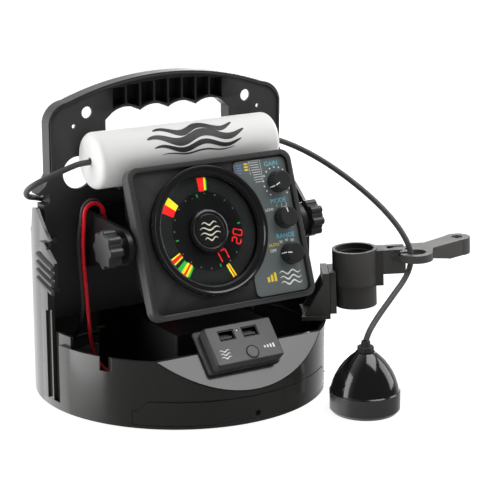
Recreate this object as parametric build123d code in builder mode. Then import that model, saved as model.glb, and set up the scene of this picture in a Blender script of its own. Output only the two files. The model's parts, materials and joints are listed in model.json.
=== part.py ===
"""Fish finder: a flasher display in a round carrying case, with float, transducer and rod holder.

Frame: origin at the centre of the base circle on the ground, +X right, -Y front, +Z up. Millimetres.
"""

import os
from math import cos, pi, radians, sin, tan

from build123d import *

os.makedirs("parts", exist_ok=True)

# Carrying case
base_radius = 134.0
rim_height = 61.6
case_wall = 3.0
base_lift = 1.2
flange_height = 8.0
crescent_edge_y = -105.0
crescent_angle = 46.0
front_wall_end_y = -18.0
tab_start_y = -30.0
tab_height = 71.0
rear_front_y = -8.0
rear_height = 148.0
inner_wall_radius = base_radius - case_wall
nest_radius = inner_wall_radius - 0.4

# Upright panel with the carrying handle
panel_front_y = 18.0
panel_depth = 14.0
panel_skin = 3.0
panel_half_width = 119.0
panel_bottom_z = 74.0
panel_top_z = 285.5
grip_half_width = 58.0
grip_cells = 8
grip_rib = 1.8
grip_lip = 2.8
scallop_half_width = grip_half_width - 1.0
scallop_count = 4
scallop_top = 253.5
scallop_rise = 4.5

# Display head, tilted back about the face centre
face_y = -77.4
face_z = 157.2
face_tilt = 20.8
head_width = 165.0
head_height = 133.0
bezel_depth = 11.0
housing_depth = 56.0
head_wall = 2.6
dial_x = -11.5
dial_y = 4.5
dial_radius = 57.4
disc_radius = 46.0
knob_spots = {"gain_knob": (65.0, 38.0), "mode_knob": (65.0, 5.5), "range_knob": (64.5, -27.0)}
tilt_axis_back = 20.0
tilt_axis_up = 3.0

# Gimbal bracket
bracket_inner_x = 86.0
bracket_wall = 4.5
boss_radius = 16.0

# Charging box on the front slope
usb_width = 67.6
usb_length = 38.0
usb_centre_x = -2.8
usb_base = 3.0
usb_height = 13.0

# Rod holder and transducer arm, in their own frame on the right rim
mount_radius = 137.0
mount_angle = -30.0
mount_lean = 2.5
tube_out = 25.0
tube_radius = 20.7
rod_bore = 14.7
arm_top = 61.0
arm_pivot = (61.5, 54.0)
hook_centre = (79.0, -21.0)
arm_end = (122.5, 25.0)

# Transducer, float and cords
transducer_x = 97.3
transducer_y = -156.0
transducer_radius = 31.4
face_thickness = 18.6
float_radius = 25.0
float_y = -9.0
float_z = 219.3
float_left = -93.4
float_right = 87.6
cord_diameter = 5.2
lead_diameter = 3.6
lead_half_gap = 2.0
power_plug_x = -18.0
transducer_plug_x = 45.0
plug_row_y = -15.0
plug_leg_length = 20.0
leg_depth = -housing_depth - 10.0
hank_half_length = 84.0
hank_half_height = 36.0
hank_y = 46.0

# Directions worked out from the sizes above
plug_spots = {"power_plug": power_plug_x, "transducer_plug": transducer_plug_x}
tilt_sin = sin(radians(face_tilt))
tilt_cos = cos(radians(face_tilt))
head_face = Plane(origin=(0, face_y, face_z), x_dir=(1, 0, 0), z_dir=(0, -tilt_cos, tilt_sin))
slope_sin = sin(radians(crescent_angle))
slope_cos = cos(radians(crescent_angle))
slope_plane = Plane(
    origin=(usb_centre_x, crescent_edge_y - 1.5 * slope_cos, rim_height - 1.5 * slope_sin),
    x_dir=(1, 0, 0),
    z_dir=(0, -slope_sin, slope_cos),
)
tilt_axis_y = face_y + tilt_axis_up * tilt_sin + tilt_axis_back * tilt_cos
tilt_axis_z = face_z + tilt_axis_up * tilt_cos - tilt_axis_back * tilt_sin
out_x = cos(radians(mount_angle))
out_y = sin(radians(mount_angle))
lean_sin = sin(radians(mount_lean))
lean_cos = cos(radians(mount_lean))
rod_frame = Plane(
    origin=(mount_radius * out_x, mount_radius * out_y, rim_height),
    x_dir=(out_x * lean_cos, out_y * lean_cos, lean_sin),
    z_dir=(-out_x * lean_sin, -out_y * lean_sin, lean_cos),
)
rod_side = Plane(origin=rod_frame.origin, x_dir=rod_frame.x_dir, z_dir=-rod_frame.y_dir)


def save(block, name):
    """Label a finished piece and write its STEP file."""
    block.part.label = name
    export_step(block.part, f"parts/{name}.step")


def front_plane(y):
    """Vertical sketch plane at y, with X to the right, Z up and its normal towards the front."""
    return Plane.XZ.offset(-y)


def side_plane(x):
    """Vertical sketch plane at x, with Y across, Z up and its normal to the right."""
    return Plane.YZ.offset(x)


# ---------------------------------------------------------------- carrying case
def crescent_solid(radius, low_z, edge_shift):
    """Disc of the case up to the rim, cut by the slanting front face moved inward by edge_shift."""
    with BuildPart() as block:
        with BuildSketch(Plane.XY.offset(low_z)):
            Circle(radius)
        extrude(amount=rim_height - low_z + 20)
        cut = Plane(
            origin=(0, crescent_edge_y + edge_shift * slope_sin, rim_height - edge_shift * slope_cos),
            z_dir=(0, -slope_sin, slope_cos),
        )
        split(bisect_by=cut, keep=Keep.BOTTOM)
    return block.part


def cover_blank(inner, outer, gap):
    """Curved plate of the lower front cover, shrunk all round by gap."""
    with BuildPart() as block:
        with BuildSketch():
            Circle(outer)
            Circle(inner, mode=Mode.SUBTRACT)
        extrude(amount=40)
        with BuildSketch(front_plane(0)):
            with BuildLine():
                Polyline(
                    (-100 + gap, 4 + gap),
                    (100 - gap, 4 + gap),
                    (100 - gap, 17 - gap),
                    (96, 17 - gap),
                    (89, 26 - gap),
                    (-89, 26 - gap),
                    (-96, 17 - gap),
                    (-100 + gap, 17 - gap),
                    close=True,
                )
            make_face()
        extrude(amount=150, mode=Mode.INTERSECT)
    return block.part


cover_screw_z = 9.2
cover_gap = 0.5
foot_spots = [(112 * cos(radians(a)), 112 * sin(radians(a))) for a in (45, 135, 225, 315)] + [(0, 0)]

with BuildPart() as nest_ring:
    with BuildSketch(Plane.XY.offset(base_lift + 1)):
        Circle(nest_radius)
        Circle(nest_radius - case_wall, mode=Mode.SUBTRACT)
    extrude(amount=tab_height)
    with BuildSketch(side_plane(-150)):
        with BuildLine():
            Polyline(
                (tab_start_y, 0),
                (140, 0),
                (140, 44),
                (rear_front_y, 44),
                (rear_front_y, tab_height),
                (tab_start_y, tab_height),
                close=True,
            )
        make_face()
    extrude(amount=300, mode=Mode.INTERSECT)

with BuildPart() as case_base:
    add(crescent_solid(base_radius, base_lift, 0))
    with BuildSketch(Plane.XY.offset(rim_height)):
        Circle(base_radius + 5)
    extrude(amount=25, mode=Mode.SUBTRACT)
    add(crescent_solid(inner_wall_radius, base_lift + case_wall, case_wall), mode=Mode.SUBTRACT)
    with BuildSketch(Plane.XY.offset(flange_height)):
        with Locations((0, front_wall_end_y + 100)):
            Rectangle(300, 200)
    extrude(amount=80, mode=Mode.SUBTRACT)
    add(nest_ring.part)
    add(cover_blank(base_radius - 1.5, base_radius + 2, 0), mode=Mode.SUBTRACT)
    with BuildSketch(front_plane(-90)):
        with Locations((0, cover_screw_z)):
            Circle(2.6)
    extrude(amount=60, mode=Mode.SUBTRACT)
    with BuildSketch(front_plane(-20)):
        with Locations((-114, 56)):
            Rectangle(6, 14)
    extrude(amount=80, mode=Mode.SUBTRACT)
    with BuildSketch(Plane.XY.offset(base_lift)):
        with Locations(*foot_spots):
            Circle(9.2)
    extrude(amount=1.5, mode=Mode.SUBTRACT)
save(case_base, "case_base")

with BuildPart() as feet:
    with BuildSketch():
        with Locations(*foot_spots):
            Circle(9)
    extrude(amount=base_lift + 1.5)
save(feet, "rubber_feet")

with BuildPart() as front_cover:
    add(cover_blank(base_radius - 1.4, base_radius, cover_gap))
    with BuildSketch(front_plane(-90)):
        with Locations((0, cover_screw_z)):
            Circle(2.6)
    extrude(amount=60, mode=Mode.SUBTRACT)
save(front_cover, "front_cover")

with BuildPart() as rear_shell:
    with BuildSketch(Plane.XY.offset(flange_height)):
        Circle(base_radius)
        Circle(inner_wall_radius, mode=Mode.SUBTRACT)
    extrude(amount=190)
    with BuildSketch(side_plane(-150)):
        with BuildLine():
            Polyline(
                (rear_front_y, flange_height),
                (140, flange_height),
                (140, rear_height),
                (46, rear_height),
                (34, 174),
                (20, 177),
                (rear_front_y, 153),
                close=True,
            )
        make_face()
    extrude(amount=300, mode=Mode.INTERSECT)
save(rear_shell, "rear_shell")


def rail_band(stand_out, centre_y, width, low_z, high_z, right_end=160):
    """Curved strip on each side wall left of right_end, standing out by the given amount."""
    with BuildSketch(Plane.XY.offset(low_z)) as sketch:
        Circle(base_radius + stand_out)
        Circle(base_radius, mode=Mode.SUBTRACT)
        with Locations(((right_end - 160) / 2, centre_y)):
            Rectangle(right_end + 160, width, mode=Mode.INTERSECT)
    extrude(sketch.sketch, amount=high_z - low_z)


with BuildPart() as side_rails:
    rail_band(2.2, 2, 7, flange_height + 1, 92)
    rail_band(3.2, -1, 13, 91, 151)
    rail_band(3.2, -6, 28, 114, 146, right_end=0)
    with BuildSketch(side_plane(-160)):
        with BuildLine():
            Polyline((-20, 136), (20, 171), (-20, 171), close=True)
        make_face()
    extrude(amount=320, mode=Mode.SUBTRACT)
save(side_rails, "side_rails")


# ---------------------------------------------------------------- upright panel with handle
def panel_outline(inset):
    """Closed outline of the upright panel, moved inward by inset."""
    w = panel_half_width - inset
    shoulder = panel_top_z - 18 - inset
    with BuildSketch(Plane.XY) as sketch:
        with BuildLine():
            for side in (-1, 1):
                Polyline(
                    (side * w, 250),
                    (side * w, 204),
                    (side * (w + 5), 195),
                    (side * (w + 12 - inset), 189.5),
                    (side * (w + 11 - inset), 187.5 + inset),
                    (side * (w + 1), 187.5 + inset),
                    (side * (w + 1), 178.5 - inset),
                    (side * (w + 6.5), 178.5 - inset),
                    (side * (w + 6.5), panel_bottom_z + inset),
                )
            Line((-w - 6.5, panel_bottom_z + inset), (w + 6.5, panel_bottom_z + inset))
            ThreePointArc((w, 250), (w - 5, shoulder - 7), (w - 19, shoulder))
            ThreePointArc((w - 19, shoulder), (0, panel_top_z - inset), (-w + 19, shoulder))
            ThreePointArc((-w + 19, shoulder), (-w + 5, shoulder - 7), (-w, 250))
        make_face()
    return sketch.sketch


def scallop_height(x):
    """Height of the hand opening's scalloped upper edge at x."""
    pitch = 2 * scallop_half_width / scallop_count
    across = ((x + scallop_half_width) % pitch) / (pitch / 2) - 1
    return scallop_top + scallop_rise * (1 - across**2)


def handle_opening():
    """Hand opening: a rounded slot whose upper edge has four finger scallops."""
    pitch = 2 * scallop_half_width / scallop_count
    left = -scallop_half_width
    with BuildSketch(Plane.XY) as sketch:
        with BuildLine():
            for n in range(scallop_count):
                start = left + n * pitch
                crest = (start + pitch / 2, scallop_top + scallop_rise)
                ThreePointArc((start, scallop_top), crest, (start + pitch, scallop_top))
            Polyline(
                (-left, scallop_top), (63.5, 248), (63.5, 228), (-63.5, 228), (-63.5, 248), (left, scallop_top)
            )
        make_face()
    return sketch.sketch


def grip_cell(left, right):
    """One open cell of the hollow grip, its floor following the scallops."""
    roof = 279.5 - 5 * ((left + right) / 2 / grip_half_width) ** 2
    with BuildSketch(Plane.XY) as sketch:
        with BuildLine():
            Polyline(
                (left, scallop_height(left + 1e-3) + grip_lip),
                (right, scallop_height(right - 1e-3) + grip_lip),
                (right, roof),
                (left, roof),
                close=True,
            )
        make_face()
    return sketch.sketch


with BuildPart() as rear_panel:
    with BuildSketch(front_plane(panel_front_y)):
        add(panel_outline(0))
    extrude(amount=-panel_depth)
    back_start = panel_front_y + panel_skin
    with BuildSketch(front_plane(back_start)):
        add(panel_outline(panel_skin))
        with Locations((0, 252)):
            Rectangle(2 * grip_half_width + 16, 70, mode=Mode.SUBTRACT)
    extrude(amount=-panel_depth, mode=Mode.SUBTRACT)
    with BuildSketch(front_plane(panel_front_y)):
        add(handle_opening())
    extrude(amount=-panel_depth, mode=Mode.SUBTRACT)
    cell_pitch = 2 * scallop_half_width / grip_cells
    for n in range(grip_cells):
        cell_left = -scallop_half_width + n * cell_pitch + grip_rib / 2
        with BuildSketch(front_plane(panel_front_y)):
            add(grip_cell(cell_left, cell_left + cell_pitch - grip_rib))
        extrude(amount=-(panel_depth - 2.5), mode=Mode.SUBTRACT)
    with BuildSketch(front_plane(panel_front_y)):
        with Locations((-81.5, 256.5), (81.5, 256.5)):
            Circle(5.3)
        with Locations((-94.6, 245.4), (94.6, 245.4)):
            Circle(2)
        with Locations((-92, 204), (92, 204)):
            Circle(14.5)
    extrude(amount=-panel_depth, mode=Mode.SUBTRACT)
save(rear_panel, "rear_panel")


# ---------------------------------------------------------------- gimbal bracket and tilt knobs
def cross_cylinder(x_from, x_to, radius, y=tilt_axis_y, z=tilt_axis_z, mode=Mode.ADD):
    """Cylinder along X between two stations, by default on the tilt axis."""
    with BuildSketch(side_plane(x_from)) as sketch:
        with Locations((y, z)):
            Circle(radius)
    extrude(sketch.sketch, amount=x_to - x_from, mode=mode)


bracket_outer_x = bracket_inner_x + bracket_wall
stud_end_x = 74.0
bracket_back_y = panel_front_y - 0.3
bracket_screw_spots = [(sx * 72, z) for sx in (-1, 1) for z in (128, 162)]
with BuildPart() as gimbal_bracket:
    with BuildSketch(front_plane(bracket_back_y)):
        with Locations((0, 145)):
            Rectangle(2 * bracket_outer_x, 54)
    extrude(amount=4)
    for side in (-1, 1):
        inner = side * bracket_inner_x
        with BuildSketch(side_plane(inner)):
            with BuildLine():
                Polyline(
                    (bracket_back_y, 172),
                    (tilt_axis_y, tilt_axis_z + boss_radius),
                    (tilt_axis_y - 3, tilt_axis_z - boss_radius + 0.5),
                    (bracket_back_y, 118),
                    close=True,
                )
            make_face()
            with Locations((tilt_axis_y, tilt_axis_z)):
                Circle(boss_radius)
        extrude(amount=side * bracket_wall)
        cross_cylinder(inner - side, inner + side * 8, 3.4, mode=Mode.SUBTRACT)
    with BuildSketch(front_plane(bracket_back_y)):
        with Locations(*bracket_screw_spots):
            Circle(2.2)
    extrude(amount=4, mode=Mode.SUBTRACT)
save(gimbal_bracket, "gimbal_bracket")

panel_screw_spots = [(sx * 117, z) for sx in (-1, 1) for z in (101, 146)]
with BuildPart() as case_screws:
    with BuildSketch(front_plane(bracket_back_y)):
        with Locations(*bracket_screw_spots):
            Circle(2.2)
    extrude(amount=4)
    with BuildSketch(front_plane(bracket_back_y - 4)):
        with Locations(*bracket_screw_spots):
            Circle(4)
    extrude(amount=2.2)
    with BuildSketch(front_plane(panel_front_y)):
        with Locations(*panel_screw_spots):
            Circle(3)
    extrude(amount=1.6)
    with BuildSketch(front_plane(-126)):
        with Locations((0, cover_screw_z)):
            Circle(2.5)
    extrude(amount=6.5)
    with BuildSketch(front_plane(-131)):
        with Locations((0, cover_screw_z)):
            RegularPolygon(1.5, 6)
    extrude(amount=3, mode=Mode.SUBTRACT)
save(case_screws, "case_screws")


def tilt_knob(side):
    """Lobed clamp knob: eight lobes round a core, moulded on its long stud."""
    start = side * (bracket_outer_x + 3.4)
    with BuildPart() as block:
        with BuildSketch(side_plane(start)):
            with Locations((tilt_axis_y, tilt_axis_z)):
                Circle(10)
        extrude(amount=side * 3)
        with BuildSketch(side_plane(start + side * 3)):
            with Locations((tilt_axis_y, tilt_axis_z)):
                Circle(14.4)
                with PolarLocations(13.2, 8):
                    Circle(3.8)
        extrude(amount=side * 12)
        outer = block.faces().sort_by(Axis.X)[0 if side < 0 else -1]
        chamfer(outer.edges(), 0.8)
        cross_cylinder(side * stud_end_x, start + side * 4, 3)
    return block


for side, word in ((-1, "left"), (1, "right")):
    save(tilt_knob(side), f"tilt_knob_{word}")

with BuildPart() as steel_washers:
    for side in (-1, 1):
        cross_cylinder(side * bracket_outer_x, side * (bracket_outer_x + 2), 8)
        cross_cylinder(side * (bracket_outer_x - 1), side * (bracket_outer_x + 3), 3.4, mode=Mode.SUBTRACT)
save(steel_washers, "knob_washers")

with BuildPart() as tilt_pads:
    for side in (-1, 1):
        cross_cylinder(side * head_width / 2, side * (bracket_inner_x - 0.3), 12)
        cross_cylinder(side * (head_width / 2 - 1), side * bracket_inner_x, 3.4, mode=Mode.SUBTRACT)
save(tilt_pads, "tilt_friction_pads")

with BuildPart() as tilt_inserts:
    for side in (-1, 1):
        cross_cylinder(side * 73, side * (head_width / 2 - 0.2), 5)
        cross_cylinder(side * 72, side * head_width / 2, 3.05, mode=Mode.SUBTRACT)
save(tilt_inserts, "tilt_inserts")


# ---------------------------------------------------------------- display head
def head_block(x, y, width, height, low, high, radius=0.0, mode=Mode.ADD):
    """Rounded block on the head's own face plane between two depths."""
    with BuildSketch(head_face.offset(low)) as sketch:
        with Locations((x, y)):
            if radius:
                RectangleRounded(width, height, radius)
            else:
                Rectangle(width, height)
    extrude(sketch.sketch, amount=high - low, mode=mode)


def head_disc(x, y, radius, low, high, mode=Mode.ADD):
    """Round block on the head's own face plane between two depths."""
    with BuildSketch(head_face.offset(low)) as sketch:
        with Locations((x, y)):
            Circle(radius)
    extrude(sketch.sketch, amount=high - low, mode=mode)


def housing_solid(inset):
    """Tapering body behind the bezel, moved inward by inset."""
    front = -bezel_depth + (0.5 if inset else 0)
    back = -housing_depth + inset
    with BuildPart() as block:
        with BuildSketch(head_face.offset(front)):
            RectangleRounded(head_width - 2 - 2 * inset, head_height - 2 - 2 * inset, 9 - inset)
        with BuildSketch(head_face.offset(back)):
            RectangleRounded(126 - 2 * inset, 80 - 2 * inset, 12 - inset)
        loft()
    return block.part


knob_places = list(knob_spots.values())

with BuildPart() as head_bezel:
    head_block(0, 0, head_width, head_height, -bezel_depth, 0, 10)
    head_block(0, 0, head_width - 9, head_height - 9, -4, 1, 7, mode=Mode.SUBTRACT)
    head_block(0, 0, head_width - 6, head_height - 6, -bezel_depth - 1, -7, 8, mode=Mode.SUBTRACT)
    head_disc(dial_x, dial_y, disc_radius + 5, -8, 0, mode=Mode.SUBTRACT)
    for knob_x, knob_y in knob_places:
        head_disc(knob_x, knob_y, 4, -8, 0, mode=Mode.SUBTRACT)
save(head_bezel, "head_bezel")

with BuildPart() as head_gasket:
    head_block(0, 0, head_width - 6.6, head_height - 6.6, -bezel_depth + 0.1, -bezel_depth + 1.6, 7.8)
    head_block(0, 0, head_width - 11, head_height - 11, -bezel_depth - 1, -bezel_depth + 3, 6, mode=Mode.SUBTRACT)
save(head_gasket, "head_gasket")

with BuildPart() as head_housing:
    add(housing_solid(0))
    for side in (-1, 1):
        cross_cylinder(side * 70, side * (head_width / 2 - 0.1), 9)
    add(housing_solid(head_wall), mode=Mode.SUBTRACT)
    for side in (-1, 1):
        cross_cylinder(side * 72, side * (head_width / 2 + 1), 5, mode=Mode.SUBTRACT)
    for plug_x in plug_spots.values():
        head_disc(plug_x, plug_row_y, 6, -housing_depth - 1, -housing_depth + 4, mode=Mode.SUBTRACT)
save(head_housing, "head_housing")

corner_spots = [(sx * 58, sy * 34) for sx in (-1, 1) for sy in (-1, 1)]
with BuildPart() as head_screws:
    for corner_x, corner_y in corner_spots:
        head_disc(corner_x, corner_y, 3, -housing_depth - 1.6, -housing_depth)
save(head_screws, "head_screws")

with BuildPart() as dial_ring:
    head_disc(dial_x, dial_y, dial_radius, -4, -0.5)
    head_disc(dial_x, dial_y, disc_radius + 2, -5, 1, mode=Mode.SUBTRACT)
    chamfer(dial_ring.faces().sort_by(Axis(head_face.origin, head_face.z_dir))[-1].edges(), 1.4)
save(dial_ring, "dial_ring")

with BuildPart() as dial_window:
    head_disc(dial_x, dial_y, disc_radius + 4.8, -6, -4.2)
    head_disc(dial_x, dial_y, 4, -7, -3, mode=Mode.SUBTRACT)
save(dial_window, "dial_window")

with BuildPart() as hub_badge:
    head_disc(dial_x, dial_y, 15, -4, -2.4)
    head_disc(dial_x, dial_y, 3.8, -8.2, -4)
save(hub_badge, "hub_badge")

with BuildPart() as dial_scale:
    head_disc(dial_x, dial_y, disc_radius + 4.8, -10.5, -9)
    head_disc(dial_x, dial_y, 40, -12, -8, mode=Mode.SUBTRACT)
save(dial_scale, "dial_scale_ring")

with BuildPart() as flasher_disc:
    head_disc(dial_x, dial_y, disc_radius, -16, -14)
    head_disc(dial_x, dial_y, 6, -14, -12)
    head_disc(dial_x, dial_y, 2, -30, -11)
save(flasher_disc, "flasher_disc")

with BuildPart() as disc_motor:
    head_disc(dial_x, dial_y, 13, -42, -19)
    head_disc(dial_x, dial_y, 2.05, -31, -18, mode=Mode.SUBTRACT)
save(disc_motor, "disc_motor")

with BuildPart() as circuit_board:
    head_block(0, 0, 112, 70, -28.6, -27)
    head_disc(dial_x, dial_y, 13.3, -30, -26, mode=Mode.SUBTRACT)
save(circuit_board, "circuit_board")

with BuildPart() as control_plate:
    with BuildSketch(head_face.offset(-4)):
        with Locations((50.5, 0)):
            RectangleRounded(54, head_height - 12, 5)
        with Locations((dial_x, dial_y)):
            Circle(dial_radius + 0.4, mode=Mode.SUBTRACT)
    extrude(amount=1.2)
    for knob_x, knob_y in knob_places:
        head_disc(knob_x, knob_y, 4, -5, 0, mode=Mode.SUBTRACT)
save(control_plate, "control_plate")

for name, (knob_x, knob_y) in knob_spots.items():
    with BuildPart() as knob:
        with BuildSketch(head_face.offset(-2.4)):
            with Locations((knob_x, knob_y)):
                Circle(9.8)
        extrude(amount=10.4, taper=3)
        head_disc(knob_x, knob_y, 3, -14, -2.4)
    save(knob, name)

with BuildPart() as potentiometers:
    for knob_x, knob_y in knob_places:
        head_disc(knob_x, knob_y, 7, -19, -7.2)
        head_disc(knob_x, knob_y, 3.05, -15, -7, mode=Mode.SUBTRACT)
save(potentiometers, "potentiometers")

with BuildPart() as rear_sockets:
    for plug_x in plug_spots.values():
        head_disc(plug_x, plug_row_y, 8, -housing_depth - 2, -housing_depth)
        head_disc(plug_x, plug_row_y, 5.9, -housing_depth, -housing_depth + 6)
save(rear_sockets, "rear_sockets")

for name, plug_x in plug_spots.items():
    with BuildPart() as plug:
        head_disc(plug_x, plug_row_y, 7, -housing_depth - 17, -housing_depth - 2)
        plug_leg = Plane(
            origin=head_face.from_local_coords((plug_x, plug_row_y, leg_depth)),
            x_dir=(1, 0, 0),
            z_dir=-head_face.y_dir,
        )
        with BuildSketch(plug_leg):
            Circle(4.6)
        extrude(amount=plug_leg_length)
    save(plug, name)


# ---------------------------------------------------------------- charging box on the front slope
def slope_block(x, y, width, length, low, high, radius=0.0, mode=Mode.ADD):
    """Block standing on the slanting front face between two heights above it."""
    with BuildSketch(slope_plane.offset(low)) as sketch:
        with Locations((x, y)):
            if radius:
                RectangleRounded(width, length, radius)
            else:
                Rectangle(width, length)
    extrude(sketch.sketch, amount=high - low, mode=mode)


def slope_disc(x, y, radius, low, high, mode=Mode.ADD):
    """Round block standing on the slanting front face."""
    with BuildSketch(slope_plane.offset(low)) as sketch:
        with Locations((x, y)):
            Circle(radius)
    extrude(sketch.sketch, amount=high - low, mode=mode)


cover_base = usb_height - 2.2
usb_ports_at = [(-14, 8.5), (9.5, 8.5)]
usb_button_at = (4.0, -11.0)
usb_led_at = (-2.6, 11.5)

with BuildPart() as usb_bracket:
    slope_block(-2.5, 0.5, usb_width + 5, usb_length + 3, 0, usb_base, 1.5)
save(usb_bracket, "usb_bracket")

with BuildPart() as usb_case:
    slope_block(0, 0, usb_width, usb_length, usb_base, cover_base, 2.5)
    slope_block(0, 0, usb_width - 4, usb_length - 4, usb_base + 1.6, cover_base + 1, 1.2, mode=Mode.SUBTRACT)
save(usb_case, "usb_box_case")

with BuildPart() as usb_cover:
    slope_block(0, 0, usb_width, usb_length, cover_base, usb_height, 2.5)
    chamfer(usb_cover.faces().sort_by(Axis(slope_plane.origin, slope_plane.z_dir))[-1].edges(), 1.2)
    for port_x, port_y in usb_ports_at:
        slope_block(port_x, port_y, 16, 10, cover_base - 1, usb_height + 1, mode=Mode.SUBTRACT)
    slope_disc(*usb_button_at, 5.8, cover_base - 1, usb_height + 1, mode=Mode.SUBTRACT)
    slope_disc(*usb_led_at, 1.55, cover_base - 1, usb_height + 1, mode=Mode.SUBTRACT)
save(usb_cover, "usb_box_cover")

with BuildPart() as usb_board:
    slope_block(0, 0, usb_width - 6, usb_length - 6, usb_base + 1.7, usb_base + 2.9)
save(usb_board, "usb_board")

with BuildPart() as usb_sockets:
    for port_x, port_y in usb_ports_at:
        slope_block(port_x, port_y, 15.6, 9.6, usb_base + 3, usb_height - 0.6)
        slope_block(port_x, port_y, 14, 8, usb_base + 5, usb_height, mode=Mode.SUBTRACT)
        slope_block(port_x, port_y - 1.4, 11.5, 2, usb_base + 4, usb_height - 2)
save(usb_sockets, "usb_sockets")

with BuildPart() as usb_led:
    slope_disc(*usb_led_at, 1.45, usb_base + 3, usb_height - 0.2)
save(usb_led, "usb_led")

with BuildPart() as usb_button:
    slope_disc(*usb_button_at, 5.4, usb_base + 5.5, usb_height + 0.6)
    fillet(usb_button.faces().sort_by(Axis(slope_plane.origin, slope_plane.z_dir))[-1].edges(), 0.5)
save(usb_button, "usb_button")


# ---------------------------------------------------------------- rod holder and transducer arm
def rod_block(a_span, b_span, c_span, mode=Mode.ADD):
    """Box in the rod holder's frame: outward, sideways and upward spans."""
    with BuildSketch(rod_frame.offset(c_span[0])) as sketch:
        with Locations(((a_span[0] + a_span[1]) / 2, (b_span[0] + b_span[1]) / 2)):
            Rectangle(a_span[1] - a_span[0], b_span[1] - b_span[0])
    extrude(sketch.sketch, amount=c_span[1] - c_span[0], mode=mode)


def rod_disc(centre, radius, low, high, mode=Mode.ADD):
    """Upright round block in the rod holder's frame."""
    with BuildSketch(rod_frame.offset(low)) as sketch:
        with Locations(centre):
            Circle(radius)
    extrude(sketch.sketch, amount=high - low, mode=mode)


def pivot_disc(radius, b_low, b_high, mode=Mode.ADD):
    """Round block on the arm's pivot line, between two sideways stations."""
    with BuildSketch(rod_side.offset(-b_low)) as sketch:
        with Locations((arm_pivot[0], arm_pivot[1])):
            Circle(radius)
    extrude(sketch.sketch, amount=b_low - b_high, mode=mode)


with BuildPart() as rod_mount:
    with BuildSketch(Plane.XY.offset(rim_height)):
        Circle(base_radius)
        Circle(base_radius - 22, mode=Mode.SUBTRACT)
        with Locations(Location((mount_radius * out_x, mount_radius * out_y), mount_angle)):
            Rectangle(60, 40, mode=Mode.INTERSECT)
    extrude(amount=4)
    with BuildSketch(Plane.XY.offset(rim_height - 12)):
        Circle(inner_wall_radius - 0.3)
        Circle(inner_wall_radius - 3.8, mode=Mode.SUBTRACT)
        with Locations(Location((mount_radius * out_x, mount_radius * out_y), mount_angle)):
            Rectangle(60, 36, mode=Mode.INTERSECT)
    extrude(amount=12.5)
    rod_block((-6, 0), (-18, 18), (1, 44))
    for b_low in (-18, 14):
        with BuildSketch(rod_side.offset(-b_low - 4)):
            with BuildLine():
                Polyline((-5, 2.5), (-5, 36), (-23, 5.5), (-23, 2.5), close=True)
            make_face()
        extrude(amount=4)
save(rod_mount, "rod_mount")

with BuildPart() as rod_holder:
    rod_block((0.3, 6), (-15, 15), (5, 44))
    rod_disc((tube_out, 0), tube_radius, 30, arm_top + 1)
    rod_disc((tube_out, 0), tube_radius - 1.5, 9, 31)
    rod_block((tube_out + 15, 50), (-10, 10), (28, arm_top))
    rod_disc((tube_out, 0), rod_bore, 12, arm_top + 2, mode=Mode.SUBTRACT)
    rod_disc((tube_out, 0), tube_radius - 3.2, arm_top - 4, arm_top + 2, mode=Mode.SUBTRACT)
    rod_disc((tube_out, 0), 4, 8, 13, mode=Mode.SUBTRACT)
save(rod_holder, "rod_holder")

with BuildPart() as arm_bracket:
    rod_block((50, 54.5), (-10, 10), (38.5, arm_top))
    rod_block((54, 70.5), (-10, -4.2), (38.5, arm_top))
    rod_block((54, 70.5), (4.2, 10), (38.5, arm_top))
    pivot_disc(2.5, -11, 11, mode=Mode.SUBTRACT)
save(arm_bracket, "arm_bracket")

with BuildPart() as arm_pin:
    pivot_disc(2.45, -10, 10.5)
    pivot_disc(3.6, -11.8, -10)
    pivot_disc(3.6, 10, 11.4)
save(arm_pin, "arm_pivot_pin")

hook_x, hook_y = hook_centre
end_x, end_y = arm_end
with BuildPart() as transducer_arm:
    pivot_disc(6.2, -3.9, 3.9)
    rod_block((arm_pivot[0], 76), (-3.9, 3.9), (48, arm_top - 0.5))
    rod_block((73.4, 96), (-10, 11), (48, arm_top))
    with BuildSketch(rod_frame.offset(46)):
        with BuildLine():
            Polyline((84, -9), (96, -9), (end_x + 4, end_y - 11), (end_x - 11, end_y + 5), (90, 11), close=True)
        make_face()
        with Locations(arm_end):
            Circle(12)
    extrude(amount=arm_top - 46)
    with BuildSketch(rod_side.offset(-60)):
        with BuildLine():
            Polyline((70, 40), (70, 53), (88, 53), (112, 46.5), (112, 40), close=True)
        make_face()
    extrude(amount=120, mode=Mode.SUBTRACT)
    rod_block((73.4, 96), (-10, 11), (53, arm_top))
    rod_block((arm_pivot[0] + 4, 78), (-3.9, 3.9), (49, arm_top - 1))
    with BuildSketch(rod_frame.offset(54)):
        with Locations(hook_centre):
            Circle(15)
        with BuildLine():
            Polyline((hook_x, hook_y), (hook_x + 15, hook_y), (96, -8), (74, -8), close=True)
        make_face()
    extrude(amount=arm_top - 54)
    rod_disc(hook_centre, 8.9, 50, 64, mode=Mode.SUBTRACT)
    rod_block((60, hook_x), (hook_y - 3, hook_y + 3), (50, 64), mode=Mode.SUBTRACT)
    rod_block((60, 73.4), (-10.5, -4), (40, 64), mode=Mode.SUBTRACT)
    rod_disc(arm_end, 2.2, 40, 64, mode=Mode.SUBTRACT)
    rod_disc(arm_end, 5, arm_top - 1, 64, mode=Mode.SUBTRACT)
    pivot_disc(2.5, -5, 5, mode=Mode.SUBTRACT)
save(transducer_arm, "transducer_arm")

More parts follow.
